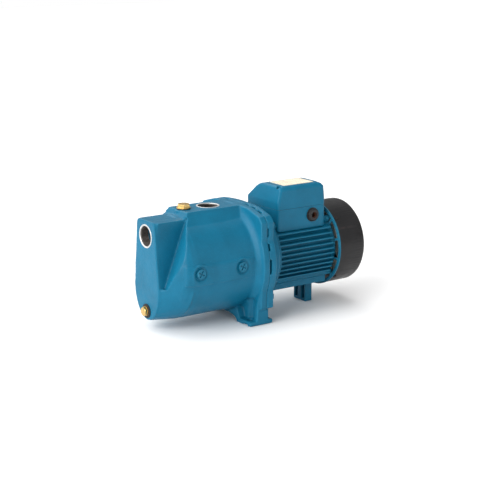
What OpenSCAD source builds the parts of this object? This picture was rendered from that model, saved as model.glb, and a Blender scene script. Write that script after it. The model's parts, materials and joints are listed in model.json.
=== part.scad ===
// Self-priming jet pump with a built-in ejector and a finned single-phase motor.
// Frame: X runs along the shaft from the suction face to the fan cover, Z is up and Z = 0 is the floor.
// The origin lies midway between the two floor bolt holes. All lengths are in millimetres.

/* [Body] */
// Height of the shaft above the floor
axis_z = 100; // [98:1:102]
// Distance from the floor bolts forward to the suction face
nose_x = 155.5; // [154.5:0.5:156.5]
// Radius of the round casing barrel
barrel_r = 85; // [84:0.5:86]
// Wall thickness of the casing
casing_wall = 6; // [5.5:0.5:7]
// Height of the top platform that carries the outlet
platform_z = 193; // [191:1:195]
// Height of the lower top in front of the platform
neck_top_z = 183; // [182:1:184]
// Width of the neck under the platform
neck_w = 58; // [57:1:60]

/* [Ports] */
// Height of the suction port above the floor
suction_z = 157; // [156:0.5:158]
// Distance from the floor bolts forward to the outlet
outlet_x = 36; // [34:1:38]
// Distance from the floor bolts forward to the filling plug
filling_x = 83; // [82:1:84]
// Bore radius of the two G1 pipe threads
pipe_r = 15.15; // [15.1:0.05:15.2]
// Height of the drain plug above the floor
drain_z = 32.5; // [32:0.5:33]

/* [Bracket and feet] */
// Width of the joint flange
flange_w = 182; // [180:1:184]
// Spacing of the two floor bolts
foot_bolts = 140; // [138:1:142]
// Radius of a floor bolt hole
foot_hole_r = 5; // [4.5:0.25:5.5]
// Radius of the round drum behind the flange
drum_r = 78; // [76:0.5:80]

/* [Motor] */
// Radius that the cooling fins reach
fin_r = 67; // [66:0.5:68]
// Distance between two cooling fins
fin_pitch = 8.4; // [8.2:0.1:8.6]
// Thickness of a cooling fin
fin_t = 2.4; // [2:0.2:2.8]
// Length of the laminated core
core_len = 70; // [66:1:72]
// Outer radius of the fan cover
cover_r = 73; // [72.5:0.5:73.5]

/* [Terminal box] */
// Width of the terminal box
box_w = 92; // [90:1:94]
// Height of the joint between the box and its lid
lid_z = 178; // [177:1:179]
// Height of the top of the lid
lid_top_z = 217; // [215:1:218]

/* [Hidden] */
$fn = 64;

// Colours
blue = [0.10, 0.47, 0.62];
black = [0.10, 0.10, 0.11];
brass = [0.82, 0.62, 0.28];
steel = [0.72, 0.73, 0.75];
copper = [0.72, 0.36, 0.16];
white_plastic = [0.86, 0.85, 0.80];
cream = [0.93, 0.88, 0.76];

// Planes across the shaft, from the suction face to the fan cover
face_x = -nose_x;
drain_x = face_x + 0.5;
duct_wall_x = face_x + 50;
duct_wall_t = 6;
split_x = 20;
flange_t = 12;
plate_t = 13;
plate_x = split_x + plate_t;
drum_x = 56;
frame_x = drum_x;
shield_x = 181;
rim_x = shield_x + 5;
cover_x = rim_x + 2;
end_x = 243.5;
box_x0 = 74;
box_x1 = 174;
core_x = 87;

// Clearance left between parts that touch
touch = 0.03;
bolt_pts = [[76, 165], [-76, 165], [76, 44], [-76, 44]];
rod_pts = [[35, 48.7], [-35, 48.7], [42.4, -42.4], [-42.4, -42.4]];
frame_in_r = 54;
frame_out_r = 58;
front_bearing_x = 48;
rear_bearing_x = 175;

// ---------- shared shapes ----------

// Children drawn with their own Z along the shaft, starting at x
module along_x(x, y = 0, z = axis_z) translate([x, y, z]) rotate([0, 90, 0]) children();

// A round bar along the shaft
module bar(x0, x1, r, y = 0, z = axis_z) along_x(x0, y, z) cylinder(r = r, h = x1 - x0);

// A tube along the shaft
module tube(x0, x1, r_out, r_in, y = 0, z = axis_z) difference() {
    bar(x0, x1, r_out, y, z);
    bar(x0 - 1, x1 + 1, r_in, y, z);
}

// A solid of revolution about the shaft from [radius, x] points
module turned(points) translate([0, 0, axis_z]) rotate([0, 90, 0]) rotate_extrude() polygon(points);

// A 2D outline in Y and Z, extruded from x0 to x1
module slab(x0, x1) translate([x0, 0, 0]) rotate([90, 0, 90]) linear_extrude(x1 - x0) children();

// A box given by its two corners
module block(a, b) translate(a) cube(b - a);

// A bar along Y, from y0 to y1
module bar_y(x, z, y0, y1, r) translate([x, y0, z]) rotate([-90, 0, 0]) cylinder(r = r, h = y1 - y0);

// The same thing on both sides of the shaft
module both_sides() {
    children();
    mirror([0, 1, 0]) children();
}

// A hexagon of width across flats
module hexagon(flats, h) cylinder(r = flats / sqrt(3), h = h, $fn = 6);

function arc(cx, cy, r, a0, a1, n) = [for (i = [0:n]) let (a = a0 + (a1 - a0) * i / n)
    [cx + r * cos(a), cy + r * sin(a)]];

// Rectangle with round corners, as a list of points
function round_rect(x0, x1, y0, y1, r, n = 5) = concat(
    arc(x1 - r, y0 + r, r, -90, 0, n), arc(x1 - r, y1 - r, r, 0, 90, n),
    arc(x0 + r, y1 - r, r, 90, 180, n), arc(x0 + r, y0 + r, r, 180, 270, n));

// ---------- pump casing ----------

nose_top_w = 55;
nose_mid_w = 76;
nose_mid_z = 72;
nose_low_z = 17;

// Shield-shaped outline of the nose, shrunk by inset
module nose_outline(inset = 0, low_z = nose_low_z, top_z = neck_top_z) {
    half_top = nose_top_w / 2 - inset;
    half_mid = nose_mid_w / 2 - inset;
    corner = 7;
    right = concat(
        [for (a = [0:15:75]) [half_mid * sin(a), nose_mid_z - (nose_mid_z - low_z - inset) * cos(a)]],
        [[half_mid, nose_mid_z]],
        arc(half_top - corner, top_z - inset - corner, corner, 8, 90, 4));
    polygon(concat(right, [for (i = [len(right) - 1:-1:1]) [-right[i][0], right[i][1]]]));
}

lean = 22;
lean_x = -139.5;
groove_depth = 9;

// Round bowl of the barrel, narrowing to the suction face; grow makes it larger all round
module bowl(grow = 0, rear_x = split_x) {
    x = face_x + 5.5 - grow;
    turned([
        [0, x], [46 + grow, x], [50.5 + grow, x + 1.8], [60 + grow, x + 9], [68 + grow, x + 14.8],
        [75 + grow, x + 20.2], [80 + grow, x + 26], [83.5 + grow, x + 33.5], [barrel_r + grow, x + 43],
        [barrel_r + grow, rear_x - 60], [barrel_r + 1.5 + grow, rear_x], [0, rear_x]]);
}

// Everything behind a plane that leans back from the bottom of the suction face
module behind_leaning_plane(setback = 0) translate([lean_x + setback / cos(lean), 0, axis_z])
    rotate([0, lean, 0]) block([0, -130, -220], [400, 130, 220]);

module barrel_shape(grow = 0, rear_x = split_x) intersection() {
    bowl(grow, rear_x);
    behind_leaning_plane(grow < 0 ? groove_depth - grow : -grow);
}

// Grooves down the leaning front, between the neck and the rim of the barrel
module front_grooves() both_sides() translate([lean_x, 0, axis_z]) rotate([0, lean, 0])
    translate([0, 0, -25]) linear_extrude(120) polygon([
        [-30, 24], [groove_depth, 24], [groove_depth, 31], [groove_depth - 3, 37], [-1, 60],
        [-30, 60]]);

belly_top_z = 76;

// Lower front of the casing, which widens from the chin of the nose to the barrel
module belly(inset = 0) intersection() {
    hull() {
        slab(face_x + 1.5 + inset, face_x + 2.5 + inset) intersection() {
            nose_outline(inset);
            translate([-60, 0]) square([120, nose_mid_z]);
        }
        bar(face_x + 39, face_x + 40, barrel_r - inset);
    }
    block([face_x, -120, 0], [face_x + 39.5, 120, belly_top_z - inset]);
}

shoulder_w = 96;
shoulder_z = 167;

// Sloping sides of the neck, from the platform down to the barrel
module shoulders() intersection() {
    slab(-130, split_x - 2) polygon([
        [neck_w / 2 - 1, platform_z - 1], [shoulder_w / 2, shoulder_z], [shoulder_w / 2, 120],
        [-shoulder_w / 2, 120], [-shoulder_w / 2, shoulder_z], [1 - neck_w / 2, platform_z - 1]]);
    neck_profile(0, 60);
    behind_leaning_plane();
}

// Side view of the platform and the lower neck in front of it, w wide to each side
module neck_profile(inset, w) translate([0, w, 0]) rotate([90, 0, 0]) linear_extrude(2 * w) polygon([
    [face_x + 5 + inset, axis_z], [face_x + 5 + inset, neck_top_z - 1 - inset],
    [-filling_x - 18, neck_top_z - 1 - inset], [-filling_x - 11, platform_z - inset],
    [split_x, platform_z - inset], [split_x, axis_z]]);

// Platform and neck above the barrel, with the step in front of the filling plug
module neck_shape(inset = 0) neck_profile(inset, neck_w / 2 - inset);

crown_r = 415;
flange_side_z = 181;
flange_low_z = 27;
bulge_r = 100;

// Joint flange: sides that bulge at the shaft, a slightly arched top and rounded corners
module flange_outline() {
    half = flange_w / 2;
    translate([0, axis_z]) circle(r = bulge_r - 10, $fn = 120);
    intersection() {
        translate([0, axis_z]) circle(r = bulge_r, $fn = 180);
        translate([-bulge_r, axis_z - 50]) square([2 * bulge_r, 100]);
    }
    intersection() {
        polygon(round_rect(-half, half, flange_low_z, 200, 4));
        translate([0, 194 - crown_r]) circle(r = crown_r, $fn = 180);
        polygon([[-half, 0], [half, 0], [half, flange_side_z - 8], [half - 8, flange_side_z + 1],
            [20, 200], [-20, 200], [-half + 8, flange_side_z + 1], [-half, flange_side_z - 8]]);
    }
}

flare_x = -4;
plug_xs = [-104, -24];
plug_z = 104.5;
side_face_y = barrel_r + 0.6;
band_low_z = 86;
band_high_z = 118;

foot_out = 87;
foot_in = 45;
foot_front_x = -10;
foot_back_x = 34;
foot_t = 8;
leg_x0 = 2;
leg_x1 = 26;
arch_top = 11;
bolt_room_r = 9;

// Feet on both sides, the legs above them and the low arch between them
module feet() {
    arch = [for (i = [0:8]) let (a = 90 * i / 8)
        [foot_in - 27 * (1 - cos(a)), arch_top * sin(a)]];
    both_sides() {
        slab(foot_front_x, split_x) polygon(concat(
            [[foot_in + 12, foot_t], [foot_in + 8, foot_t]], [[foot_in, 24], [0, 14.5], [0, arch_top]],
            [for (i = [8:-1:0]) arch[i]], [[foot_in + 12, 0]]));
        slab(foot_front_x, foot_back_x) polygon(round_rect(foot_in, foot_out, 0, foot_t, 2.5, 3));
        translate([0, foot_out, 0]) rotate([90, 0, 0]) linear_extrude(foot_out - foot_in)
            polygon([[leg_x0, 2], [leg_x1, 2], [leg_x1, flange_low_z - 0.3], [split_x, flange_low_z - 0.3],
                [split_x, 58], [split_x - flange_t, 58], [leg_x0 + 1.5, 34]]);
    }
}

module casing_outside() {
    difference() {
        union() {
            barrel_shape();
            shoulders();
        }
        front_grooves();
    }
    belly();
    both_sides() intersection() {
        bowl(1.6);
        block([plug_xs[0] - 25, barrel_r - 15, band_low_z], [flare_x + 2, side_face_y, band_high_z]);
    }
    difference() {
        slab(face_x, -60) nose_outline();
        // sloping chin under the front face
        translate([face_x, -60, 50]) rotate([0, 12, 0]) block([-30, 0, -60], [0, 120, 0]);
    }
    bar(face_x, drain_x + 12, 12.5, 0, drain_z);
    neck_shape();
    slab(split_x - flange_t, split_x) flange_outline();
    intersection() {
        turned([[0, flare_x], [barrel_r - 1, flare_x], [barrel_r + 2, flare_x + 5],
            [barrel_r + 8, flare_x + 10], [bulge_r + 1, split_x - flange_t + 1],
            [0, split_x - flange_t + 1]]);
        slab(flare_x - 1, split_x) flange_outline();
    }
    feet();
    both_sides() for (x = plug_xs) bar_y(x, plug_z, barrel_r - 20, side_face_y, 15.5);
}

// Inside of the vessel behind the suction duct
module casing_inside() {
    barrel_shape(-casing_wall, split_x - 8);
    bar(split_x - 9, split_x + 1, barrel_r - 5);
    neck_shape(casing_wall);
}

// Suction duct that drops from the port to the ejector
module duct(inset, x1) slab(face_x + (inset > 1 ? 7 : 1), x1) nose_outline(inset, 47);

module pump_casing() color(blue) difference() {
    union() {
        difference() {
            casing_outside();
            casing_inside();
        }
        duct(1, duct_wall_x + duct_wall_t);
        bar(face_x + 1, face_x + 18, 21, 0, suction_z);
        bar(drain_x, drain_x + 14, 11, 0, drain_z);
        translate([-outlet_x, 0, platform_z - 22]) cylinder(r = 21, h = 21);
        translate([-filling_x, 0, platform_z - 14]) cylinder(r = 14.5, h = 13);
        both_sides() for (x = plug_xs) bar_y(x, plug_z, barrel_r - 15, barrel_r - 4, 11);
    }
    difference() {
        duct(6.5, duct_wall_x);
        bar(face_x + 1, face_x + 18, 21, 0, suction_z);
    }
    // suction and outlet threads, each with a machined mouth
    bar(face_x - 1, face_x + 19, pipe_r, 0, suction_z);
    along_x(face_x - 0.5, 0, suction_z) cylinder(r1 = 19.15, r2 = pipe_r, h = 3.5);
    translate([-outlet_x, 0, platform_z - 23]) cylinder(r = pipe_r, h = 30);
    translate([-outlet_x, 0, platform_z - 3]) cylinder(r1 = pipe_r, r2 = 19.15, h = 3.5);
    // filling hole, drain hole and its spot face
    translate([-filling_x, 0, platform_z - 15]) cylinder(r = 7.48, h = 20);
    bar(face_x - 1, drain_x + 26, 5.8, 0, drain_z);
    bar(face_x - 1, drain_x, 11.9, 0, drain_z);
    // seat of the ejector
    bar(duct_wall_x - 1, duct_wall_x + duct_wall_t + 1, 24);
    // side plug holes and their round recesses
    both_sides() for (x = plug_xs) {
        bar_y(x, plug_z, barrel_r - 20, barrel_r + 2, 6.1);
        bar_y(x, plug_z, side_face_y - 2.5, barrel_r + 2, 12.5);
    }
    // floor bolt holes, room for the bolt heads and a groove at each end of a foot
    both_sides() translate([0, foot_bolts / 2, 0]) {
        translate([0, 0, -1]) cylinder(r = foot_hole_r, h = foot_t + 2);
        translate([0, 0, foot_t]) cylinder(r = bolt_room_r, h = 36);
        block([foot_front_x - 1, -6.5, -1], [-foot_hole_r - 2, 6.5, 2.5]);
        block([foot_hole_r + 3, -6.5, -1], [foot_back_x + 1, 6.5, 2.5]);
    }
    // threaded holes for the joint bolts
    for (p = bolt_pts) bar(split_x - 9, split_x + 1, 4.1, p[0], p[1]);
}

module side_plugs() color(blue) both_sides() for (x = plug_xs) difference() {
    union() {
        bar_y(x, plug_z, side_face_y - 2.5, side_face_y + 0.3, 8);
        bar_y(x, plug_z, side_face_y - 12, side_face_y - 2.4, 6);
    }
    for (a = [30, 120]) translate([x, side_face_y - 1.2, plug_z]) rotate([0, a, 0])
        block([-6, 0, -0.9], [6, 3, 0.9]);
}

module casing_o_ring() color(black) turned([
    [76.3, split_x - 5.2], [76.3, split_x - 1.8], [barrel_r - 5 - touch, split_x - 1.8],
    [barrel_r - 5 - touch, split_x - 5.2]]);

// ---------- ejector and diffuser ----------

ejector_x = duct_wall_x + duct_wall_t;
throat_x = -74;

module ejector_body() color(black) difference() {
    union() {
        tube(duct_wall_x - 3, -66, 23.2, 18);
        tube(ejector_x, ejector_x + 5, 29, 20);
        bar(-96, -84, 8);
        translate([-90, 0, axis_z - 20]) cylinder(r = 6, h = 40);
    }
    bar(-92, -83, 5);
    translate([-90, 0, axis_z - 30]) cylinder(r = 3.2, h = 60);
}

module nozzle() color(brass) turned([
    [2.8, -91], [4.95, -91], [4.95, -84], [7.5, -84], [7.5, -81], [4, throat_x - 1],
    [2.6, throat_x - 1], [2.2, throat_x - 2]]);

module ejector_o_ring() color(black) turned([
    [23.25, duct_wall_x + 1.5], [23.25, duct_wall_x + 4.5],
    [23.95, duct_wall_x + 4.5], [23.95, duct_wall_x + 1.5]]);

module venturi_tube() color(black) turned([
    [13, throat_x], [17.95, throat_x], [17.95, -66], [21, -66], [21, -63], [12, -63],
    [10, -55], [19.5, -16], [20.8, -16], [20.8, -9.5], [17.2, -9.5], [16, -14], [6.5, -58],
    [6.5, -66]]);

vane_count = 8;

// Curved blade outline between two radii
module blade(r0, r1, sweep, t, n = 6) {
    line = [for (i = [0:n]) let (k = i / n, r = r0 + (r1 - r0) * k, a = sweep * k)
        [r * cos(a), r * sin(a)]];
    polygon(concat(line, [for (i = [n:-1:0]) let (p = line[i], a = sweep * i / n + 60)
        [p[0] - t * sin(a), p[1] + t * cos(a)]]));
}

module diffuser() color(black) {
    turned([
        [20.9, -12], [25, -12], [25, -1.5], [74, -1.5], [74, 2], [20.9, 2]]);
    for (i = [0:vane_count - 1]) along_x(1.9, 0, axis_z) rotate([0, 0, i * 360 / vane_count])
        linear_extrude(split_x - 1.9 - touch) blade(63.5, 71, 20, 2.5);
}

// ---------- motor bracket ----------

slot_zs = [[149, 163], [126, 138], [88, 112]];

module motor_bracket() color(blue) difference() {
    union() {
        slab(split_x, plate_x) flange_outline();
        tube(plate_x - 1, drum_x, drum_r, drum_r - 7);
        tube(split_x - 8, split_x + 1, barrel_r - 5.3, 73);
        bar(split_x, 41, 24);
        bar(drum_x - 8, drum_x, drum_r - 6);
        bar(44, 62, 26);
        tube(drum_x - 1, 62, frame_in_r - 0.1, 49);
    }
    // cavity of the slinger between the seal wall and the bearing wall
    difference() {
        bar(split_x + 8, drum_x - 8, drum_r - 7);
        bar(split_x, 41, 24);
        bar(44, 62, 26);
    }
    // O-ring groove
    tube(split_x - 5.5, split_x - 1.5, barrel_r - 4, 76.2);
    // seal chamber, seat recess and shaft hole
    bar(split_x - 9, 30, 19);
    bar(29, 38, 14);
    bar(37, 42, 9.5);
    // bearing seat, shaft hole and rear opening
    bar(front_bearing_x - 0.2, 63, 20.02);
    bar(43, 50, 14);
    // room for the legs of the casing
    both_sides() block([split_x - 1, foot_in - 0.3, 0], [leg_x1 + 0.3, foot_out + 1, flange_low_z]);
    // drain slot below the slinger
    block([split_x + 10, -8, 0], [drum_x - 9, 8, axis_z - 60]);
    // shallow pockets round the joint
    both_sides() for (s = slot_zs)
        block([split_x - 1, flange_w / 2 - 4, s[0]], [split_x + 4, bulge_r + 1, s[1]]);
    for (y = [-66, -48, -30, 30, 48, 66]) block([split_x - 1, y - 5, 178], [split_x + 5, y + 5, 200]);
    // joint bolts and tie rods
    for (p = bolt_pts) bar(split_x - 1, plate_x + 1, 4.5, p[0], p[1]);
    for (p = rod_pts) bar(drum_x - 9, drum_x + 1, 2.6, p[0], axis_z + p[1]);
}

module casing_bolts() color(steel) for (p = bolt_pts) {
    bar(split_x - 8, plate_x + 2, 4, p[0], p[1]);
    along_x(plate_x + 1.6, p[0], p[1]) hexagon(13, 5.3);
}

module casing_washers() color(steel) for (p = bolt_pts)
    tube(plate_x, plate_x + 1.6, 8, 4.2, p[0], p[1]);

// ---------- mechanical seal ----------

module seal_seat() color(white_plastic) turned([
    [8.6, 31], [11.8, 31], [11.8, 37], [8.6, 37]]);

module seal_cup() color(black) turned([
    [11.85, 31.5], [13.97, 31.5], [13.97, 37.9], [9.8, 37.9], [9.8, 37.05], [11.85, 37.05]]);

module seal_head() color([0.2, 0.2, 0.22]) {
    turned([[8.05, 26.5], [11.5, 26.5], [11.5, 30.95], [8.05, 30.95]]);
    turned([[11.6, 25.5], [12.4, 25.5], [12.4, 30], [11.6, 30]]);
}

spring_turns = 3;
spring_r = 11;
wire_r = 0.8;

// Round wire wound along the shaft between the impeller and the seal head
module seal_spring() color(steel) {
    x0 = 20.2;
    x1 = 24.5;
    rings = 54;
    sides = 8;
    points = [for (i = [0:rings]) let (k = i / rings, a = 360 * spring_turns * k)
        for (j = [0:sides - 1]) let (b = 360 * j / sides, r = spring_r + wire_r * cos(b))
            [x0 + (x1 - x0) * k + wire_r * sin(b), r * cos(a), axis_z + r * sin(a)]];
    faces = concat(
        [for (i = [0:rings - 1]) for (j = [0:sides - 1]) let (n = (j + 1) % sides)
            each [[i * sides + j, (i + 1) * sides + n, (i + 1) * sides + j],
                [i * sides + j, i * sides + n, (i + 1) * sides + n]]],
        [[for (j = [sides - 1:-1:0]) j]],
        [[for (j = [0:sides - 1]) rings * sides + j]]);
    polyhedron(points, faces);
}

// ---------- bearings ----------

// [x, width, bore radius, outer radius, ball radius, balls]
front_bearing = [front_bearing_x, 12, 8.5, 20, 3.35, 8];
rear_bearing = [rear_bearing_x, 11, 7.5, 17.5, 2.95, 8];

module raceway(b, pitch) along_x(b[0] + b[1] / 2) rotate_extrude()
    translate([pitch, 0]) circle(r = b[4] + 0.12, $fn = 32);

module bearing_outer(b) color(steel) {
    pitch = (b[2] + b[3]) / 2;
    difference() {
        tube(b[0], b[0] + b[1], b[3], pitch + b[4] * 0.7);
        raceway(b, pitch);
    }
    for (x = [b[0] + 0.3, b[0] + b[1] - 0.8])
        tube(x, x + 0.5, pitch + b[4] * 0.7 + 0.2, pitch - b[4] * 0.7 + 0.25);
}

module bearing_inner(b) color(steel) difference() {
    pitch = (b[2] + b[3]) / 2;
    tube(b[0], b[0] + b[1], pitch - b[4] * 0.7, b[2] + touch / 2);
    raceway(b, pitch);
}

module bearing_balls(b) color(steel) {
    pitch = (b[2] + b[3]) / 2;
    mid = b[0] + b[1] / 2;
    half = b[4] + 0.8;
    difference() {
        tube(mid - half, mid + half, pitch + 0.8, pitch - 0.8);
        for (i = [0:b[5] - 1]) rotate_about_shaft(i * 360 / b[5])
            bar_y(mid, axis_z, pitch - 3, pitch + 3, b[4] + 0.05);
    }
    for (i = [0:b[5] - 1]) rotate_about_shaft(i * 360 / b[5])
        translate([mid, pitch, axis_z]) sphere(r = b[4]);
}

module rotate_about_shaft(a) translate([0, 0, axis_z]) rotate([a, 0, 0])
    translate([0, 0, -axis_z]) children();

module front_bearing_outer() bearing_outer(front_bearing);
module front_bearing_inner() bearing_inner(front_bearing);
module front_bearing_balls() bearing_balls(front_bearing);
module rear_bearing_outer() bearing_outer(rear_bearing);
module rear_bearing_inner() bearing_inner(rear_bearing);
module rear_bearing_balls() bearing_balls(rear_bearing);

module wave_spring() color(steel) tube(rear_bearing_x + 11.2, rear_bearing_x + 12.2, 17, 13.5);

// ---------- motor ----------

base_w = 84;
base_z = 40;
base_top_z = 58;
pad_z = 160;

// Level fins inside the round envelope, on one side
module fins() for (i = [-4.5:1:4.5]) {
    z = axis_z + i * fin_pitch;
    reach = sqrt(fin_r * fin_r - pow(i * fin_pitch, 2));
    root = sqrt(frame_in_r * frame_in_r - pow(i * fin_pitch, 2)) + 1.5;
    block([frame_x + 11, root, z - fin_t / 2], [shield_x - 1, reach, z + fin_t / 2]);
}

module motor_frame() color(blue) difference() {
    union() {
        bar(frame_x, shield_x, frame_out_r);
        bar(frame_x, frame_x + 12, 66);
        both_sides() fins();
        block([frame_x + 11, -base_w / 2, base_z], [shield_x - 2, base_w / 2, base_top_z]);
        block([82, -24, pad_z - 10], [166, 24, pad_z]);
        for (p = rod_pts) bar(frame_x, shield_x, lug_r, p[0], axis_z + p[1]);
    }
    bar(frame_x - 1, shield_x + 1, frame_in_r);
    for (p = rod_pts) bar(frame_x - 1, shield_x + 1, 2.7, p[0], axis_z + p[1]);
    translate([wire_hole_x, 0, pad_z - 20]) cylinder(r = 8, h = 30);
    for (x = frame_screw_xs) translate([x, 0, pad_z - 20]) cylinder(r = 2, h = 30);
    translate([foot2_screw_x, 0, base_z - 1]) cylinder(r = 3, h = 14);
}

slot_count = 24;
slot_r = 41;

module stator_core() color(steel) difference() {
    tube(core_x, core_x + core_len, frame_in_r - touch, 32);
    for (i = [0:slot_count - 1]) rotate_about_shaft((i + 0.5) * 360 / slot_count)
        bar(core_x - 1, core_x + core_len + 1, 3.5, slot_r);
}

module stator_windings() color(copper) {
    for (x = [core_x - 15, core_x + core_len + 0.2]) turned([
        [36, x], [48, x], [50, x + 3], [50, x + 14.8], [35, x + 14.8], [34, x + 3]]);
    for (i = [0:slot_count - 1]) rotate_about_shaft((i + 0.5) * 360 / slot_count)
        bar(core_x - 1, core_x + core_len + 1, 3.3, slot_r);
}

bar_count = 18;

module rotor_core() color(steel) difference() {
    tube(core_x, core_x + core_len, 31.6, 12 + touch / 2);
    for (i = [0:bar_count - 1]) rotate_about_shaft(i * 360 / bar_count)
        bar(core_x - 1, core_x + core_len + 1, 2.3, 27.5);
}

module rotor_cage() color(white_plastic) {
    for (x = [core_x - 7, core_x + core_len + 0.05]) tube(x, x + 6.95, 31, 21);
    for (i = [0:bar_count - 1]) rotate_about_shaft(i * 360 / bar_count)
        bar(core_x - 1, core_x + core_len + 1, 2.2, 27.5);
}

module shaft() color(steel) difference() {
    turned([
        [0, -10], [5.2, -10], [6, -9], [6, 2], [8, 2], [8, 38], [8.5, 38], [8.5, 60], [11, 60],
        [11, 72], [12, 72], [12, core_x + core_len], [10, core_x + core_len], [10, rear_bearing_x],
        [7.5, rear_bearing_x], [7.5, rear_bearing_x + 12], [7, rear_bearing_x + 12], [7, 222.05],
        [6.4, 222.05], [6.4, 223.3], [7, 223.3], [7, 229], [6.3, 230], [0, 230]]);
    block([4, -2.5, axis_z + 5], [18, 2.5, axis_z + 9]);
}

register_r = cover_r - 2.8;
cover_screw_x = cover_x + 4.5;
lug_r = 6;

module rear_end_shield() color(blue) difference() {
    union() {
        tube(shield_x, rim_x + 1, 57, 51);
        bar(rim_x, cover_x, 58);
        tube(rim_x, cover_x, cover_r + 0.8, register_r - 0.8);
        tube(cover_x - 1, cover_x + 9, register_r, register_r - 2.8);
        tube(shield_x - 6, shield_x + 1, frame_in_r - 0.1, 49);
        bar(rear_bearing_x - 1, rear_bearing_x + 16, 23);
        for (p = rod_pts) bar(shield_x, cover_x, lug_r, p[0], axis_z + p[1]);
        for (i = [0:7]) rotate_about_shaft(22.5 + i * 45)
            block([shield_x + 1, 20, axis_z - 1.5], [rim_x + 1, 52, axis_z + 1.5]);
        // ribs across the air gap to the rim
        for (i = [0:11]) rotate_about_shaft(15 + i * 30)
            block([rim_x, 56, axis_z - 2], [cover_x, register_r - 1, axis_z + 2]);
    }
    bar(rear_bearing_x - 2, rear_bearing_x + 12.5, 17.52);
    bar(rear_bearing_x + 12, rear_bearing_x + 17, 8.5);
    bar(rear_bearing_x - 2, rear_bearing_x - 0.5, 20);
    for (p = rod_pts) bar(shield_x - 1, cover_x + 1, 2.7, p[0], axis_z + p[1]);
    for (i = [0:3]) rotate_about_shaft(45 + i * 90)
        bar_y(cover_screw_x, axis_z, register_r - 7, register_r + 1, 1.6);
}

module tie_rods() color(steel) for (p = rod_pts) bar(drum_x - 8, cover_x + 6, 2.5, p[0], axis_z + p[1]);

module tie_rod_nuts() color(steel) for (p = rod_pts) along_x(cover_x, p[0], axis_z + p[1]) difference() {
    hexagon(8, 4);
    translate([0, 0, -1]) cylinder(r = 2.52, h = 6);
}

blade_count = 9;

module cooling_fan() color(white_plastic) difference() {
    union() {
        turned([
            [0, 205], [12, 205], [13, 207], [58, 204], [58, 206], [13, 210], [12, 222], [0, 222]]);
        for (i = [0:blade_count - 1]) rotate_about_shaft(i * 360 / blade_count)
            block([205, 12, axis_z - 1], [224, 60, axis_z + 1]);
    }
    bar(200, 230, 7 + touch / 2);
}

module fan_clip() color(steel) difference() {
    tube(222.1, 223.2, 10, 6.45);
    block([222, -3, axis_z + 2], [224, 3, axis_z + 12]);
}

cover_t = 2;
grille_rs = [14, 24, 34, 44, 54];

module fan_cover() color(black) difference() {
    union() {
        turned([
            [cover_r - 2.7, cover_x], [cover_r, cover_x], [cover_r - 0.4, end_x - 6],
            [cover_r - 1.6, end_x - 2.6], [cover_r - 3.4, end_x - 0.7], [cover_r - 6, end_x],
            [0, end_x], [0, end_x - cover_t], [cover_r - 6.5, end_x - cover_t],
            [cover_r - 4, end_x - 3.5], [cover_r - 2.7, end_x - 6.5]]);
    }
    difference() {
        for (r = grille_rs) tube(end_x - 4, end_x + 1, r + 6, r);
        for (a = [0:30:150]) rotate_about_shaft(a)
            block([end_x - 5, -70, axis_z - 1.6], [end_x + 2, 70, axis_z + 1.6]);
    }
    for (i = [0:3]) rotate_about_shaft(45 + i * 90)
        bar_y(cover_screw_x, axis_z, cover_r - 10, cover_r + 5, 2.1);
}

module fan_cover_screws() color(steel) for (i = [0:3]) rotate_about_shaft(45 + i * 90) difference() {
    union() {
        bar_y(cover_screw_x, axis_z, register_r - 5, cover_r + 1, 1.55);
        bar_y(cover_screw_x, axis_z, cover_r + 0.05, cover_r + 1.9, 3.4);
    }
    translate([cover_screw_x, 0, axis_z]) for (a = [0, 90]) rotate([0, a, 0])
        block([-2, cover_r + 1, -0.4], [2, cover_r + 5, 0.4]);
}

// ---------- terminal box ----------

box_wall = 3;
gasket_t = 0.4;
floor_z = pad_z + 3;
box_low_z = 140;
screw_pts = [for (x = [box_x0 + 9, box_x1 - 11], y = [-36, 36]) [x, y]];
screw_top = [for (p = screw_pts) p[1] < 0 ? lid_top_z - 7 : lid_top_z - 24];
frame_screw_xs = [90, 158];
wire_hole_x = 118;
gland_x = 146;
gland_z = 163;

module box_outline(inset = 0, corner = 5) polygon(
    round_rect(box_x0 + inset, box_x1 - inset, -box_w / 2 + inset, box_w / 2 - inset, corner));

module terminal_box() color(blue) difference() {
    translate([0, 0, box_low_z]) linear_extrude(lid_z - box_low_z) box_outline();
    difference() {
        union() {
            translate([0, 0, floor_z]) linear_extrude(40) box_outline(box_wall, 3);
            translate([0, 0, box_low_z - 10]) linear_extrude(pad_z - box_low_z + 10)
                box_outline(box_wall, 3);
        }
        for (p = screw_pts) translate([p[0], p[1], floor_z - 2]) cylinder(r = 4.2, h = 40);
    }
    bar(60, 180, frame_out_r + 0.4);
    for (p = rod_pts) bar(60, 180, lug_r + 0.4, p[0], axis_z + p[1]);
    for (p = screw_pts) translate([p[0], p[1], floor_z + 2]) cylinder(r = 1.8, h = 40);
    bar_y(gland_x, gland_z, -60, -30, 8.1);
    translate([wire_hole_x, 0, pad_z - 1]) cylinder(r = 8, h = 6);
    for (x = frame_screw_xs) translate([x, 0, pad_z - 1]) cylinder(r = 2.2, h = 6);
}

// Hood of the lid: steep front, upright near side, bevelled far side and a flat top
module lid_shape(inset = 0) {
    half = box_w / 2 - inset;
    x0 = box_x0 + inset;
    x1 = box_x1 - inset;
    hull() {
        translate([0, 0, lid_z + gasket_t - inset]) linear_extrude(12) box_outline(inset, 5);
        translate([0, 0, lid_top_z - 8 - inset]) linear_extrude(1)
            polygon(round_rect(x0 + 4, x1 - 2, -half, half - 21, 5));
        translate([0, 0, lid_top_z - 3.2 - inset]) linear_extrude(1)
            polygon(round_rect(x0 + 5.5, x1 - 6, -half + 3.2, half - 29, 5));
        translate([0, 0, lid_top_z - 1 - inset]) linear_extrude(1)
            polygon(round_rect(x0 + 8, x1 - 11, -half + 7, half - 39, 5));
    }
}

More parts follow.
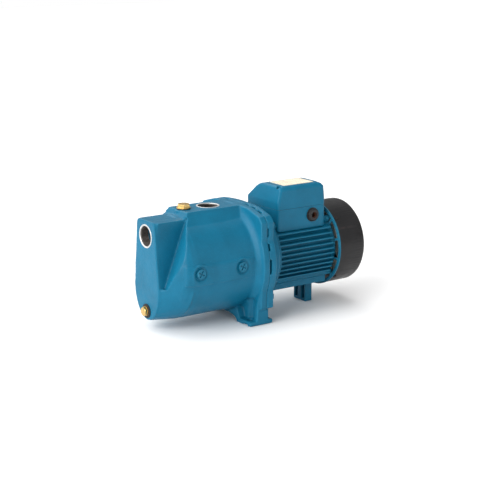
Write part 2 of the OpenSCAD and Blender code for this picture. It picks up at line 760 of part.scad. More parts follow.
module terminal_lid() color(blue) difference() {
    lid_shape();
    difference() {
        lid_shape(2.5);
        for (p = screw_pts) translate([p[0], p[1], lid_z]) cylinder(r = 5, h = 60);
    }
    for (i = [0:3]) translate([screw_pts[i][0], screw_pts[i][1], 0]) {
        translate([0, 0, lid_z - 2]) cylinder(r = 2.2, h = 60);
        translate([0, 0, screw_top[i]]) cylinder(r = 4, h = 40);
    }
}

module lid_gasket() color(black) translate([0, 0, lid_z]) linear_extrude(gasket_t) difference() {
    box_outline(0.4, 5);
    box_outline(box_wall - 0.5, 3);
}

module lid_screws() color(steel) for (i = [0:3]) translate([screw_pts[i][0], screw_pts[i][1], 0])
    difference() {
        union() {
            translate([0, 0, floor_z + 6]) cylinder(r = 1.75, h = screw_top[i] - floor_z - 5);
            translate([0, 0, screw_top[i]]) cylinder(r = 3.6, h = 2.6);
        }
        for (a = [0, 90]) rotate([0, 0, a]) block([-2.2, -0.4, screw_top[i] + 1.4], [2.2, 0.4, 250]);
    }

module nameplate() color(cream) translate([0, 0, lid_top_z]) linear_extrude(0.6)
    polygon(round_rect(box_x0 + 19, box_x1 - 19, -box_w / 2 + 9, 4, 2));

stud_xs = [100, 114, 128];

module terminal_block() color(white_plastic) difference() {
    block([stud_xs[0] - 8, -34, floor_z], [stud_xs[2] + 8, -12, floor_z + 14]);
    for (x = stud_xs) translate([x, -23, floor_z + 3]) cylinder(r = 2.6, h = 20);
}

module terminal_studs() color(brass) for (x = stud_xs) translate([x, -23, 0]) {
    translate([0, 0, floor_z + 3]) cylinder(r = 2.5, h = 17);
    translate([0, 0, floor_z + 14]) hexagon(8, 3.5);
}

cap_r = 17;
cap_y = 14;
cap_z = floor_z + cap_r + 0.5;
clip_x0 = 134;
clip_x1 = 146;

module capacitor() color(white_plastic) {
    bar(92, 156, cap_r, cap_y, cap_z);
    for (y = [-6, 6]) block([156, cap_y + y - 0.5, cap_z - 3], [162, cap_y + y + 0.5, cap_z + 3]);
}

module capacitor_clip() color(steel) difference() {
    union() {
        tube(clip_x0, clip_x1, cap_r + 1.3, cap_r + 0.1, cap_y, cap_z);
        block([clip_x0, -12, floor_z], [clip_x1, cap_y, floor_z + 1]);
    }
    block([clip_x0 - 1, -40, floor_z - 10], [clip_x1 + 1, 60, floor_z]);
    bar(clip_x0 - 1, clip_x1 + 1, cap_r + 0.1, cap_y, cap_z);
    translate([(clip_x0 + clip_x1) / 2, -7, floor_z - 2]) cylinder(r = 2, h = 5);
}

module earth_screw() color(brass) translate([152, -22, floor_z]) difference() {
    union() {
        cylinder(r = 2, h = 6);
        cylinder(r = 4.4, h = 1);
        translate([0, 0, 3]) cylinder(r = 3.8, h = 2.8);
    }
    block([-5, -0.5, 5], [5, 0.5, 8]);
}

wall_y = -box_w / 2;
cable_r = 4.6;

module gland_body() color(black) difference() {
    union() {
        bar_y(gland_x, gland_z, wall_y - 1.5, wall_y, 12);
        bar_y(gland_x, gland_z, wall_y - 0.1, wall_y + 9, 8);
        bar_y(gland_x, gland_z, wall_y - 4.5, wall_y - 1, 8);
    }
    bar_y(gland_x, gland_z, wall_y - 10, wall_y + 10, 6.2);
}

module gland_nut() color(black) translate([gland_x, wall_y - 1.6, gland_z]) rotate([90, 0, 0])
    difference() {
        rotate_extrude() polygon([[0, 0], [11, 0], [11, 2.6], [8.6, 4.6], [0, 4.6]]);
        translate([0, 0, -1]) cylinder(r = 8.08, h = 4);
        cylinder(r = 5.4, h = 12);
        for (a = [0:30:330]) rotate([0, 0, a]) translate([12.3, 0, -1]) cylinder(r = 1.9, h = 8);
    }

module gland_seal() color([0.32, 0.14, 0.09]) difference() {
    bar_y(gland_x, gland_z, wall_y - 4.4, wall_y + 6, 6.1);
    bar_y(gland_x, gland_z, wall_y - 15, wall_y + 15, cable_r);
}

// ---------- rear foot ----------

foot2_x = 155;
foot2_w = 34;
foot2_d = 15;
foot2_screw_x = foot2_x + foot2_d / 2;

module rear_foot() color(blue) difference() {
    block([foot2_x, -foot2_w / 2, 0], [foot2_x + foot2_d, foot2_w / 2, base_z]);
    both_sides() block([foot2_x - 1, 5.5, 5], [foot2_x + foot2_d - 4, foot2_w / 2 - 4, base_z - 7]);
    translate([foot2_screw_x, 0, -1]) cylinder(r = 3.3, h = 60);
    translate([foot2_screw_x, 0, -1]) cylinder(r = 5, h = 31);
}

module rear_foot_screw() color(steel) translate([foot2_screw_x, 0, 0]) {
    translate([0, 0, 30]) cylinder(r = 2.95, h = 20);
    difference() {
        translate([0, 0, 24]) cylinder(r = 4.8, h = 6);
        translate([0, 0, 23]) hexagon(5, 4);
    }
}

// ---------- impeller and other turning parts ----------

impeller_vanes = 6;

module impeller() color(brass) difference() {
    union() {
        turned([
            [0, 2.1], [14, 2.1], [15, 12], [24, 14.3], [61, 14.5], [61, 17], [14, 17], [12, 19],
            [0, 19]]);
        turned([
            [17.5, -9], [20.2, -9], [20.2, 2.5], [24, 4], [61, 5], [61, 7.5], [24, 6.8],
            [17.5, 4.5]]);
        for (i = [0:impeller_vanes - 1]) along_x(6, 0, axis_z) rotate([0, 0, i * 60])
            linear_extrude(9) blade(21, 59, 70, 2.4, 8);
    }
    bar(0, 22, 8 + touch / 2);
    block([3, -2.5, axis_z + 5], [20, 2.5, axis_z + 10.3]);
}

module impeller_key() color(steel) block([4.1, -2.45, axis_z + 5.1], [17.9, 2.45, axis_z + 10.1]);

module impeller_nut() color(steel) difference() {
    along_x(-5.5) hexagon(19, 7.4);
    bar(-8, 5, 6 + touch / 2);
}

module slinger_ring() color(black) turned([
    [8.55, 41.6], [11, 41.6], [12.5, 42.2], [13.4, 42.2], [13.4, 42.8], [11.5, 43.4], [8.55, 43.4]]);

// ---------- plugs ----------

module priming_plug() color(brass) translate([-filling_x, 0, platform_z]) {
    translate([0, 0, -11]) cylinder(r = 7.4, h = 12.7);
    translate([0, 0, 1.6]) cylinder(r = 11.6, h = 1.6);
    intersection() {
        translate([0, 0, 3.1]) hexagon(19, 5.4);
        rotate_extrude() polygon([[0, 3], [11, 3], [11, 7.2], [9.2, 8.5], [0, 8.5]]);
    }
}

module priming_washer() color(black) translate([-filling_x, 0, platform_z + 0.02]) difference() {
    cylinder(r = 11.4, h = 1.5);
    translate([0, 0, -1]) cylinder(r = 7.6, h = 4);
}

module drain_plug() color(brass) {
    bar(drain_x - 3.1, drain_x + 10, 5.72, 0, drain_z);
    bar(drain_x - 3.6, drain_x - 2.1, 8.2, 0, drain_z);
    intersection() {
        along_x(drain_x - 8, 0, drain_z) hexagon(14, 4.6);
        along_x(drain_x - 8, 0, drain_z) rotate_extrude()
            polygon([[0, 0], [6.8, 0], [8.3, 1.1], [8.3, 5], [0, 5]]);
    }
}

module drain_washer() color(black) tube(drain_x - 2.05, drain_x - 0.02, 11.6, 6, 0, drain_z);

// ---------- choice of node ----------

pump_casing();
side_plugs();
casing_o_ring();
ejector_body();
nozzle();
ejector_o_ring();
venturi_tube();
diffuser();
motor_bracket();
casing_bolts();
casing_washers();
seal_seat();
seal_cup();
front_bearing_outer();
motor_frame();
stator_core();
stator_windings();
rear_bearing_outer();
wave_spring();
rear_end_shield();
tie_rods();
tie_rod_nuts();
fan_cover();
fan_cover_screws();
terminal_box();
terminal_lid();
lid_gasket();
lid_screws();
nameplate();
terminal_block();
terminal_studs();
capacitor();
capacitor_clip();
earth_screw();
gland_body();
gland_nut();
gland_seal();
rear_foot();
rear_foot_screw();
shaft();
impeller();
impeller_key();
impeller_nut();
seal_head();
seal_spring();
slinger_ring();
front_bearing_inner();
rear_bearing_inner();
rotor_core();
rotor_cage();
cooling_fan();
fan_clip();
front_bearing_balls();
rear_bearing_balls();
priming_plug();
priming_washer();
drain_plug();
drain_washer();
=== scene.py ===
import json
import math

import bmesh
import bpy
from mathutils import Matrix, Vector


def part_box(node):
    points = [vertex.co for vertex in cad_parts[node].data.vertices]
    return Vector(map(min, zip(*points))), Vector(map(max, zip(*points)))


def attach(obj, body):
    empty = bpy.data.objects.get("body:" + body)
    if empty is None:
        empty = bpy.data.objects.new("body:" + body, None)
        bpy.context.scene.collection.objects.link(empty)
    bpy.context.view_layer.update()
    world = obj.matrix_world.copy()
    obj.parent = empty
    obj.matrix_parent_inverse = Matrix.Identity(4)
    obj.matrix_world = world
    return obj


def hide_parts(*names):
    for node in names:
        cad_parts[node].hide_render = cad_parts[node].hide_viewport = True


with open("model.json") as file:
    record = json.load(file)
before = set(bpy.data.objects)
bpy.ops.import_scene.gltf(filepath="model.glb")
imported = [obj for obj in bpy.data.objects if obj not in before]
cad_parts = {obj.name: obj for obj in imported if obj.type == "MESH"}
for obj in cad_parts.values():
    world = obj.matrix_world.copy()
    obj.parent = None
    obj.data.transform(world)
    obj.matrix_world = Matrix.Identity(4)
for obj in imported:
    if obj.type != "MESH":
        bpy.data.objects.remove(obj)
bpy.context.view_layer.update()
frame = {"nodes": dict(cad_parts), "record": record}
NODES = frame["nodes"]
MM = 0.001
BODY_OF = {n: b for b, names in frame["record"]["behaviour"]["bodies"].items() for n in names}
SLOT_OF = {p["node"]: p["material_slot"] for p in frame["record"]["subparts"]}
MOUNT_AT = {m["name"]: m["pos_m"] for m in frame["record"]["mounts"]}


def add_object(name, data):
    """A new object that shows data, linked into the scene."""
    obj = bpy.data.objects.new(name, data)
    bpy.context.collection.objects.link(obj)
    return obj


def mesh_from(name, bm):
    """A new mesh with the faces of bm, which is freed."""
    mesh = bpy.data.meshes.new(name)
    bm.to_mesh(mesh)
    bm.free()
    return mesh


def z_along(direction):
    """The rotation that turns +Z to direction."""
    return Vector(direction).to_track_quat("Z", "Y")


# ---------------------------------------------------------------- camera

AIM = Vector((0.049, 0.0, 0.105))
AZIMUTH = math.radians(-35)
ELEVATION = math.radians(14)
DISTANCE = 2.2
SENSOR_MM = 36
LENS_MM = 93.2

cam_data = bpy.data.cameras.new("camera")
cam_data.sensor_width = SENSOR_MM
cam_data.lens = LENS_MM
camera = add_object("camera", cam_data)
away = Vector((math.sin(AZIMUTH) * math.cos(ELEVATION), -math.cos(AZIMUTH) * math.cos(ELEVATION),
               math.sin(ELEVATION)))
camera.location = AIM + DISTANCE * away
camera.rotation_euler = z_along(away).to_euler()
bpy.context.scene.camera = camera

# ---------------------------------------------------------------- studio


def soft_sun(name, toward, spread, strength):
    """A distant soft light; toward points from the pump to it, spread is its width in degrees."""
    data = bpy.data.lights.new(name, "SUN")
    data.energy = strength
    data.angle = math.radians(spread)
    add_object(name, data).rotation_euler = z_along(toward).to_euler()


soft_sun("key", (-0.90, -0.16, 0.45), 55, 3.3)
soft_sun("top", (-0.10, 0.55, 0.85), 80, 2.3)
soft_sun("side", (0.25, -1.0, 0.55), 60, 0.60)

# the camera sees a white background, and the pump gets the weaker light of AMBIENT from it
AMBIENT = 0.30
world = bpy.data.worlds.new("studio")
bpy.context.scene.world = world
world.use_nodes = True
tree = world.node_tree
sky = tree.nodes["Background"]
sky.inputs["Color"].default_value = (1, 1, 1, 1)
path = tree.nodes.new("ShaderNodeLightPath")
level = tree.nodes.new("ShaderNodeMapRange")
level.inputs["To Min"].default_value = AMBIENT
level.inputs["To Max"].default_value = 1.0
tree.links.new(path.outputs["Is Camera Ray"], level.inputs["Value"])
tree.links.new(level.outputs["Result"], sky.inputs["Strength"])
bpy.context.scene.view_settings.view_transform = "Standard"

# ---------------------------------------------------------------- materials


WAVE_PERIOD = 0.314  # metres between the bands of a wave texture whose scale is 1
CLOUD_RANGE = (0.3, 0.7)  # nearly all values of soft noise lie in it
MIX_COLOR_A, MIX_COLOR_B, MIX_COLOR_OUT = 6, 7, 2  # colour sockets of the Mix node


class Look:
    """A procedural material: nodes are added by short calls."""

    def __init__(self, name):
        self.mat = bpy.data.materials.new(name)
        self.mat.use_nodes = True
        self.tree = self.mat.node_tree
        self.shader = self.tree.nodes["Principled BSDF"]
        coord = self.tree.nodes.new("ShaderNodeTexCoord")
        self.place = coord.outputs["Object"]
        self.height = None

    def set(self, **values):
        for key, value in values.items():
            self.shader.inputs[key.replace("_", " ")].default_value = value

    def link(self, a, b):
        self.tree.links.new(a, b)

    def stretched(self, scale):
        """Object coordinates times scale, one factor for each axis."""
        node = self.tree.nodes.new("ShaderNodeMapping")
        node.inputs["Scale"].default_value = scale
        self.link(self.place, node.inputs["Vector"])
        return node.outputs["Vector"]

    def noise(self, size, detail=3.0, rough=0.55, at=None):
        """Noise whose blobs are about size metres across."""
        node = self.tree.nodes.new("ShaderNodeTexNoise")
        node.inputs["Scale"].default_value = 1 / size
        node.inputs["Detail"].default_value = detail
        node.inputs["Roughness"].default_value = rough
        self.link(at or self.place, node.inputs["Vector"])
        return node.outputs["Fac"]

    def clouds(self, size, detail, to_low=0, to_high=1, rough=0.55, at=None):
        """Noise that runs from to_low to to_high."""
        return self.spread(self.noise(size, detail, rough, at), *CLOUD_RANGE, to_low, to_high)

    def wave(self, size, axis, shape="BANDS", distortion=0.0, at=None):
        """Bands across axis, or rings round it, size metres apart."""
        node = self.tree.nodes.new("ShaderNodeTexWave")
        node.wave_type = shape
        if shape == "BANDS":
            node.bands_direction = axis
        else:
            node.rings_direction = axis
        node.inputs["Scale"].default_value = WAVE_PERIOD / size
        node.inputs["Distortion"].default_value = distortion
        self.link(at or self.place, node.inputs["Vector"])
        return node.outputs["Fac"]

    def pointiness(self):
        """0.5 on flat faces, more on edges and less in hollows."""
        return self.tree.nodes.new("ShaderNodeNewGeometry").outputs["Pointiness"]

    def spread(self, value, low, high, to_low, to_high):
        """Maps low..high to to_low..to_high, and stays at the ends past them."""
        node = self.tree.nodes.new("ShaderNodeMapRange")
        for key, number in (("From Min", low), ("From Max", high),
                            ("To Min", to_low), ("To Max", to_high)):
            node.inputs[key].default_value = number
        self.link(value, node.inputs["Value"])
        return node.outputs["Result"]

    def times(self, a, b):
        node = self.tree.nodes.new("ShaderNodeMath")
        node.operation = "MULTIPLY"
        self.link(a, node.inputs[0])
        self.link(b, node.inputs[1])
        return node.outputs["Value"]

    def mix(self, factor, a, b):
        """Colour a where factor is 0, b where it is 1; a and b are colours or sockets."""
        node = self.tree.nodes.new("ShaderNodeMix")
        node.data_type = "RGBA"
        self.link(factor, node.inputs["Factor"])
        for socket, value in ((node.inputs[MIX_COLOR_A], a), (node.inputs[MIX_COLOR_B], b)):
            if isinstance(value, tuple):
                socket.default_value = (*value, 1)
            else:
                self.link(value, socket)
        return node.outputs[MIX_COLOR_OUT]

    def color(self, socket):
        self.link(socket, self.shader.inputs["Base Color"])

    def rough(self, socket):
        self.link(socket, self.shader.inputs["Roughness"])

    def bump(self, value, depth):
        """Adds a bump of depth metres on top of the bumps before it."""
        node = self.tree.nodes.new("ShaderNodeBump")
        node.inputs["Distance"].default_value = depth
        node.inputs["Strength"].default_value = 1.0
        self.link(value, node.inputs["Height"])
        if self.height:
            self.link(self.height, node.inputs["Normal"])
        self.height = node.outputs["Normal"]
        self.link(self.height, self.shader.inputs["Normal"])


def shade(color, k):
    """The colour k times as bright."""
    return tuple(min(1.0, c * k) for c in color)


def paint(name, color, grain, depth, gloss, wear_and_highlight=1.0):
    """Satin paint: clouded colour, painted shade and dust in hollows, lighter edges from thin paint and
    a painted highlight, grain showing through.
    """
    look = Look(name)
    base = look.mix(look.clouds(0.045, 4), shade(color, 0.9), shade(color, 1.1))
    specks = look.spread(look.noise(0.0016, 2, 0.7), 0.56, 0.72, 0, 0.45)
    base = look.mix(specks, base, shade(color, 1.45))
    # painted highlight: edges are lightened, standing for light catching them as well as worn thin
    # paint
    edge = look.spread(look.pointiness(), 0.515, 0.60, 0, 0.55 * wear_and_highlight)
    patches = look.spread(look.noise(0.006, 4), 0.3, 0.6, 0.2, 1)
    worn_and_highlight = (color[0] * 3 + 0.03, color[1] * 1.6 + 0.03, color[2] * 1.4 + 0.03)
    base = look.mix(look.times(edge, patches), base, worn_and_highlight)
    # painted shade: hollows are darkened to 0.38 of the colour, standing for the shade there as well as
    # dust
    hollow_shade_and_dirt = look.spread(look.pointiness(), 0.492, 0.42, 0, 0.7)
    base = look.mix(hollow_shade_and_dirt, base, shade(color, 0.38))
    look.color(base)
    look.rough(look.clouds(0.012, 4, gloss - 0.06, gloss + 0.1))
    look.bump(look.noise(grain * 7, 2), depth * 2.2)
    look.bump(look.noise(grain, 3, 0.6), depth)
    look.set(Specular_IOR_Level=0.18)
    return look.mat


BLUE = (0.0045, 0.128, 0.225)


def metal(name, color, gloss, grain=0.0008, depth=0.00002, brushed=None, shade_and_dirt=0.5):
    """Bare metal: faint stains, painted shade and dirt darkening the hollows; brushed stretches its
    grain by axis.
    """
    look = Look(name)
    stain = look.spread(look.noise(0.009, 5), 0.35, 0.7, 0, 1)
    base = look.mix(stain, color, shade(color, 0.72))
    # painted shade: hollows are darkened towards 0.22 of the colour, shade as well as dirt
    hollow_shade_and_dirt = look.spread(look.pointiness(), 0.49, 0.43, 0, shade_and_dirt)
    base = look.mix(hollow_shade_and_dirt, base, shade(color, 0.22))
    look.color(base)
    at = look.stretched(brushed) if brushed else None
    look.rough(look.clouds(0.004, 4, gloss - 0.07, gloss + 0.12, 0.6, at))
    look.bump(look.noise(grain, 3, 0.6, at), depth)
    look.set(Metallic=1.0)
    return look.mat


def plastic(name, color, gloss, grain=0.0006, depth=0.000012, spec=0.4):
    """Moulded plastic or rubber: fine texture, light scuffs, and slightly pale edges from a painted
    highlight and wear.
    """
    look = Look(name)
    base = look.mix(look.clouds(0.02, 4), shade(color, 0.88), shade(color, 1.12))
    # painted highlight: edges are lightened, standing for light catching them as well as wear
    edge = look.spread(look.pointiness(), 0.52, 0.6, 0, 0.5)
    base = look.mix(edge, base, tuple(c * 1.3 + 0.03 for c in color))
    look.color(base)
    look.rough(look.clouds(0.003, 4, gloss - 0.06, gloss + 0.1))
    look.bump(look.noise(grain, 2, 0.6), depth)
    look.set(Specular_IOR_Level=spec)
    return look.mat


def turned_metal(name, color, gloss, pitch, depth, axis):
    """Machined metal with the fine rings that a lathe tool leaves."""
    look = Look(name)
    stain = look.spread(look.noise(0.007, 5), 0.35, 0.7, 0, 1)
    look.color(look.mix(stain, color, shade(color, 0.78)))
    look.rough(look.clouds(0.002, 4, gloss - 0.05, gloss + 0.1))
    look.bump(look.wave(pitch, axis, "RINGS"), depth)
    look.set(Metallic=1.0)
    return look.mat


def windings_look():
    """Enamelled copper wires that lie side by side."""
    look = Look("copper_wire")
    strands = look.wave(0.0009, "X", distortion=2.0)
    look.color(look.mix(strands, (0.62, 0.22, 0.07), (0.26, 0.07, 0.02)))
    look.rough(look.clouds(0.002, 3, 0.25, 0.4))
    look.bump(strands, 0.0003)
    look.set(Metallic=0.75)
    return look.mat


def laminated_look():
    """The edges of thin stacked steel sheets."""
    look = Look("laminated_steel")
    sheets = look.wave(0.0005, "X")
    look.color(look.mix(sheets, (0.30, 0.29, 0.28), (0.14, 0.13, 0.12)))
    look.rough(look.clouds(0.004, 3, 0.4, 0.6))
    look.bump(sheets, 0.0001)
    look.set(Metallic=0.9)
    return look.mat


LOOKS = {
    "blue_cast_iron": paint("blue_cast_iron", BLUE, 0.0011, 0.00011, 0.36),
    "blue_aluminium": paint("blue_aluminium", shade(BLUE, 0.92), 0.0007, 0.00005, 0.36),
    "blue_plastic": paint("blue_plastic", BLUE, 0.0009, 0.00003, 0.34, 0.5),
    "blue_steel": paint("blue_steel", BLUE, 0.0012, 0.00004, 0.36, 0.8),
    "black_steel": paint("black_steel", (0.018, 0.018, 0.019), 0.0009, 0.00003, 0.34, 0.6),
    "black_plastic": plastic("black_plastic", (0.014, 0.014, 0.015), 0.5),
    "black_rubber": plastic("black_rubber", (0.012, 0.012, 0.012), 0.72, 0.0009, 0.00002, 0.25),
    "brown_rubber": plastic("brown_rubber", (0.085, 0.028, 0.014), 0.62, 0.0008, 0.00002, 0.3),
    "brass": metal("brass", (0.78, 0.53, 0.20), 0.28),
    "zinc_steel": metal("zinc_steel", (0.62, 0.63, 0.64), 0.33),
    "shaft_steel": metal("shaft_steel", (0.56, 0.56, 0.57), 0.22, brushed=(1, 14, 14)),
    "bearing_steel": metal("bearing_steel", (0.66, 0.66, 0.67), 0.12, depth=0.000004),
    "core_steel": laminated_look(),
    "copper": windings_look(),
    "bare_aluminium": metal("bare_aluminium", (0.72, 0.72, 0.72), 0.42, 0.001, 0.00006),
    "ceramic": plastic("ceramic", (0.80, 0.78, 0.72), 0.18, 0.0004, 0.000002, 0.5),
    "graphite": plastic("graphite", (0.03, 0.03, 0.032), 0.4, 0.0004, 0.000004),
    "white_plastic": plastic("white_plastic", (0.72, 0.70, 0.64), 0.36),
    "label": plastic("label", (0.86, 0.74, 0.56), 0.42, 0.0004, 0.000004),
}
IRON = turned_metal("machined_iron", (0.80, 0.80, 0.79), 0.42, 0.0006, 0.00002, "X")
IRON_TOP = turned_metal("machined_iron_top", (0.80, 0.80, 0.79), 0.42, 0.0006, 0.00002, "Z")
# painted shade: the port threads get a nearly black iron colour that stands for the shade inside the
# bore
THREAD_SHADE_IRON = metal("thread_iron_painted_shade", (0.105, 0.095, 0.088), 0.5, 0.0007, 0.00003)
INK = plastic("label_ink", (0.10, 0.10, 0.11), 0.5, 0.0003, 0.000002)

FLOOR_SIZE = 8

floor_look = Look("floor_white")
floor_look.color(floor_look.mix(floor_look.noise(0.4, 2), (0.93, 0.93, 0.93), (0.95, 0.95, 0.95)))
floor_look.set(Roughness=0.9, Specular_IOR_Level=0.1)
floor_bm = bmesh.new()
bmesh.ops.create_grid(floor_bm, x_segments=1, y_segments=1, size=FLOOR_SIZE)
floor_mesh = mesh_from("floor", floor_bm)
floor_mesh.materials.append(floor_look.mat)
floor = add_object("floor", floor_mesh)

# every CAD node gets the material of its slot
for name, node in NODES.items():
    node.data.materials.clear()
    node.data.materials.append(LOOKS[SLOT_OF[name]])

# ---------------------------------------------------------------- pieces


WELD_GAP = 4e-6
SLIVER_EDGE = 2e-6
CUTTER_STEPS = 96


def new_piece(name, bm, body, mat, smooth=True):
    """A piece of the visual model, made of the faces of bm."""
    for f in bm.faces:
        f.smooth = smooth
    mesh = mesh_from(name, bm)
    mesh.materials.append(mat)
    piece = add_object(name, mesh)
    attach(piece, body)
    return piece


def skin_piece(node, bm):
    """A piece with the body of a CAD node and the material of its slot."""
    slot = SLOT_OF[node]
    return new_piece(node + "_skin", bm, BODY_OF[node], LOOKS[slot])


def cad_copy(node):
    """The CAD node's faces with its split corners welded and its slivers taken out."""
    bm = bmesh.new()
    bm.from_mesh(NODES[node].data)
    bmesh.ops.remove_doubles(bm, verts=bm.verts, dist=WELD_GAP)
    bmesh.ops.dissolve_degenerate(bm, edges=bm.edges, dist=SLIVER_EDGE)
    return bm


def stand_along(bm, place, axis):
    """Moves bm from the origin to place and turns its +Z to axis."""
    turn = z_along(axis).to_matrix().to_4x4()
    bmesh.ops.transform(bm, matrix=Matrix.Translation(place) @ turn, verts=bm.verts)


def mark_crisp_edges(bm, angle):
    """Edges that bend more than angle stay sharp in smooth shading."""
    for e in bm.edges:
        e.smooth = not (len(e.link_faces) == 2 and e.calc_face_angle() > angle)


def modifier(piece, name, kind, **values):
    """Adds a modifier with these settings."""
    m = piece.modifiers.new(name, kind)
    for key, value in values.items():
        setattr(m, key, value)


def cut_away(piece, name, tool):
    """Cuts the shape of tool out of piece."""
    modifier(piece, name, "BOOLEAN", operation="DIFFERENCE", object=tool, solver="EXACT")


def round_off(piece, voxel, rounds):
    """Rebuilds piece from cubes of the voxel size and smooths it, which rounds its edges."""
    modifier(piece, "voxels", "REMESH", mode="VOXEL", voxel_size=voxel, use_smooth_shade=True)
    modifier(piece, "round", "SMOOTH", factor=0.5, iterations=rounds)


def cutter(name, place, axis, radius, length):
    """A hidden cylinder to cut with, from place along axis, a unit vector."""
    bm = bmesh.new()
    bmesh.ops.create_cone(bm, cap_ends=True, segments=CUTTER_STEPS, radius1=radius,
                          radius2=radius, depth=length)
    stand_along(bm, Vector(place) + Vector(axis) * length / 2, axis)
    tool = add_object(name, mesh_from(name, bm))
    tool.hide_render = True
    tool.hide_viewport = True
    return tool


def cast_skin(node, voxel, rounds, cutters=()):
    """Stands for a cast node: the same shape with every edge rounded off."""
    piece = skin_piece(node, cad_copy(node))
    for i, tool in enumerate(cutters):
        cut_away(piece, f"cut{i}", tool)
    round_off(piece, voxel, rounds)
    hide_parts(node)


SEAM_NEAR = 0.05 * MM  # corners this close to the seam lie on it
SEAM_SPARE = 6 * MM  # the copy reaches this far past the seam, where it is cut off again
SEAM_TOOL = 100 * MM  # radius and length of the cylinder that cuts it


def seam_skin(node, voxel, rounds, is_lid):
    """A half of the terminal box: round edges, but a crisp edge where it meets the other half."""
    low, high = (Vector(c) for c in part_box(node))
    seam_z = low.z if is_lid else high.z
    outward = -1 if is_lid else 1
    bm = cad_copy(node)
    for v in bm.verts:
        if abs(v.co.z - seam_z) < SEAM_NEAR:
            v.co.z += outward * SEAM_SPARE
    piece = skin_piece(node, bm)
    round_off(piece, voxel, rounds)
    middle = (low + high) / 2
    tool = cutter("seam_of_" + node, (middle.x, middle.y, seam_z), (0, 0, outward),
                  SEAM_TOOL, SEAM_TOOL)
    cut_away(piece, "seam", tool)
    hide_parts(node)


CRISP_ANGLE = math.radians(32)
FLAT_ANGLE = math.radians(0.4)  # faces that bend less than this are joined


def crisp_skin(node, width):
    """Stands for a machined, pressed or turned node: the same shape with small bevels."""
    bm = cad_copy(node)
    bmesh.ops.dissolve_limit(bm, angle_limit=FLAT_ANGLE, verts=bm.verts, edges=bm.edges)
    mark_crisp_edges(bm, CRISP_ANGLE)
    piece = skin_piece(node, bm)
    modifier(piece, "bevel", "BEVEL", width=width, segments=2, limit_method="ANGLE",
             angle_limit=CRISP_ANGLE, harden_normals=True)
    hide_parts(node)


FACE_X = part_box("pump_casing")[0][0]
TOP_Z = 193 * MM
SUCTION_Z = MOUNT_AT["suction_port"][2]
OUTLET_X = MOUNT_AT["outlet_port"][0]
MOUTH_R = 17.6 * MM
CUT_LEAD = 2 * MM
SUCTION_CUT = 15.2 * MM
OUTLET_CUT = 19.2 * MM

suction_cut = cutter("cut_suction", (FACE_X - CUT_LEAD, 0, SUCTION_Z), (1, 0, 0), MOUTH_R,
                     CUT_LEAD + SUCTION_CUT)
outlet_cut = cutter("cut_outlet", (OUTLET_X, 0, TOP_Z + CUT_LEAD), (0, 0, -1), MOUTH_R,
                    CUT_LEAD + OUTLET_CUT)
cast_skin("pump_casing", 1.25 * MM, 8, (suction_cut, outlet_cut))
cast_skin("motor_bracket", 1.2 * MM, 5)
cast_skin("motor_frame", 1.0 * MM, 3)
seam_skin("terminal_box", 1.0 * MM, 5, is_lid=False)
seam_skin("terminal_lid", 1.0 * MM, 6, is_lid=True)
cast_skin("rear_foot", 0.9 * MM, 4)

BEVELS_MM = {
    "rear_end_shield": 0.6, "fan_cover": 0.4, "side_plugs": 0.4, "casing_bolts": 0.4,
    "casing_washers": 0.3, "fan_cover_screws": 0.3, "lid_screws": 0.3, "priming_plug": 0.5,
    "drain_plug": 0.4, "gland_body": 0.3, "gland_nut": 0.5, "gland_seal": 0.4,
    "nameplate": 0.15, "cooling_fan": 0.4, "tie_rod_nuts": 0.3,
}
for node, width in BEVELS_MM.items():
    crisp_skin(node, width * MM)

# ---------------------------------------------------------------- ports

RING_STEPS = 128
RING_CRISP_ANGLE = math.radians(40)


def ring_piece(name, rows, place, axis, mat):
    """A closed ring of the casing; each row holds a (radius, height) point for every step.

    Height runs from place along axis.
    """
    bm = bmesh.new()
    rings = []
    for row in rows:
        ring = []
        for j, (r, z) in enumerate(row):
            a = 2 * math.pi * j / RING_STEPS
            ring.append(bm.verts.new((r * math.cos(a), r * math.sin(a), z)))
        rings.append(ring)
    for a, b in zip(rings, rings[1:] + rings[:1]):
        for j in range(RING_STEPS):
            k = (j + 1) % RING_STEPS
            bm.faces.new((a[j], a[k], b[k], b[j]))
    stand_along(bm, place, axis)
    bmesh.ops.recalc_face_normals(bm, faces=bm.faces)
    mark_crisp_edges(bm, RING_CRISP_ANGLE)
    return new_piece(name, bm, "pump", mat)


# G1 pipe thread
PITCH = 2.309 * MM
MAJOR_R = 16.62 * MM
MINOR_R = 15.15 * MM
PITCH_STEPS = 10
FLANK_SLOPE = 2.6
ROOT_FLAT = 0.15
SUCTION_DEPTH = 15 * MM
OUTLET_DEPTH = 18 * MM

# machined ring round the mouth
RING_OUT_R = 19.4 * MM
RING_IN_R = 16.7 * MM
LIP = 0.35 * MM
SEAT = 0.9 * MM
RING_FOOT = 0.3 * MM
RING_TO_CUT = 0.1 * MM
RING_TO_THREAD = 0.4 * MM
OUTER_BEVEL = 0.3 * MM
INNER_BEVEL = 0.6 * MM


def tooth_height(z, turn):
    """The thread's height at depth z and turn, a part of a full turn: 0 at its root, 1 at its crest."""
    phase = (z / PITCH + turn) % 1.0
    return min(1.0, max(0.0, (0.5 - abs(phase - 0.5)) * FLANK_SLOPE - ROOT_FLAT))


def port_ring(name, place, axis, mat):
    """The bright machined ring round the mouth of a port."""
    profile = (
        (MOUTH_R - RING_TO_CUT, -SEAT - RING_FOOT),
        (RING_OUT_R, -SEAT),
        (RING_OUT_R, LIP - OUTER_BEVEL),
        (RING_OUT_R - OUTER_BEVEL, LIP),
        (RING_IN_R + INNER_BEVEL, LIP),
        (RING_IN_R, LIP - INNER_BEVEL),
        (RING_IN_R, -SEAT - RING_FOOT),
    )
    ring_piece(name + "_ring", [[point] * RING_STEPS for point in profile], place, axis, mat)


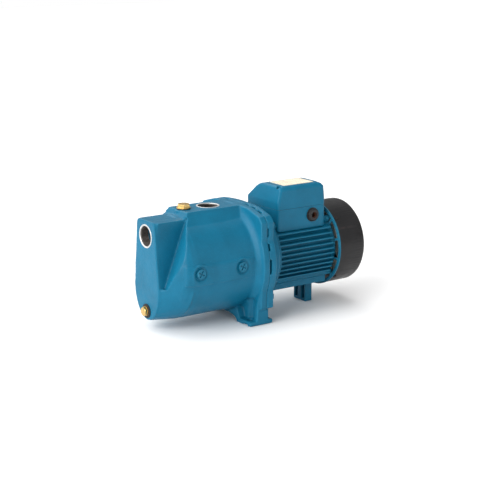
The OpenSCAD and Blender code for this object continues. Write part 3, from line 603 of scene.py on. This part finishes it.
def port_thread(name, place, axis, depth):
    """The thread down the bore of a port, coloured nearly black as painted shade, with a cone that
    leads into it.
    """
    step = PITCH / PITCH_STEPS
    top = -SEAT - RING_TO_THREAD
    rows = [[(MOUTH_R, -depth)] * RING_STEPS, [(MOUTH_R, top)] * RING_STEPS]
    for i in range(int(depth / step)):
        z = top - i * step
        lead_in = MAJOR_R + z + SEAT
        row = []
        for j in range(RING_STEPS):
            wall = MAJOR_R - (MAJOR_R - MINOR_R) * tooth_height(z, j / RING_STEPS)
            row.append((max(wall, lead_in), z))
        rows.append(row)
    rows.append([(MINOR_R, z - step)] * RING_STEPS)
    ring_piece(name + "_thread", rows, place, axis, THREAD_SHADE_IRON)


for name, place, axis, depth, ring_mat in (
        ("suction", (FACE_X, 0, SUCTION_Z), (-1, 0, 0), SUCTION_DEPTH, IRON),
        ("outlet", (OUTLET_X, 0, TOP_Z), (0, 0, 1), OUTLET_DEPTH, IRON_TOP)):
    port_ring(name, place, axis, ring_mat)
    port_thread(name, place, axis, depth)

# ---------------------------------------------------------------- label

PRINT_LIFT = 0.03 * MM
PRINT_INSET = 2.2 * MM
FRAME_LINE = 0.5 * MM
FIELD_LINE = 0.6 * FRAME_LINE
FIELD_ROWS = 5
FIELD_COLUMNS = (0.32, 0.66)  # shares of the width
COLUMN_HEIGHT = 0.8  # share of the height; the title row above has no columns


def label_print():
    """Thin printed frame and blank fields on the label."""
    low, high = (Vector(c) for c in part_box("nameplate"))
    z = high.z + PRINT_LIFT
    x0, x1 = low.x + PRINT_INSET, high.x - PRINT_INSET
    y0, y1 = low.y + PRINT_INSET, high.y - PRINT_INSET
    bars = [(x0, y0, x1, y0 + FRAME_LINE), (x0, y1 - FRAME_LINE, x1, y1),
            (x0, y0, x0 + FRAME_LINE, y1), (x1 - FRAME_LINE, y0, x1, y1)]
    for i in range(1, FIELD_ROWS):
        y = y0 + (y1 - y0) * i / FIELD_ROWS
        bars.append((x0, y, x1, y + FIELD_LINE))
    for column in FIELD_COLUMNS:
        x = x0 + (x1 - x0) * column
        bars.append((x, y0, x + FIELD_LINE, y0 + (y1 - y0) * COLUMN_HEIGHT))
    bm = bmesh.new()
    for a0, b0, a1, b1 in bars:
        corners = [bm.verts.new((x, y, z)) for x, y in ((a0, b0), (a1, b0), (a1, b1), (a0, b1))]
        bm.faces.new(corners)
    new_piece("label_print", bm, "pump", INK, smooth=False)


label_print()
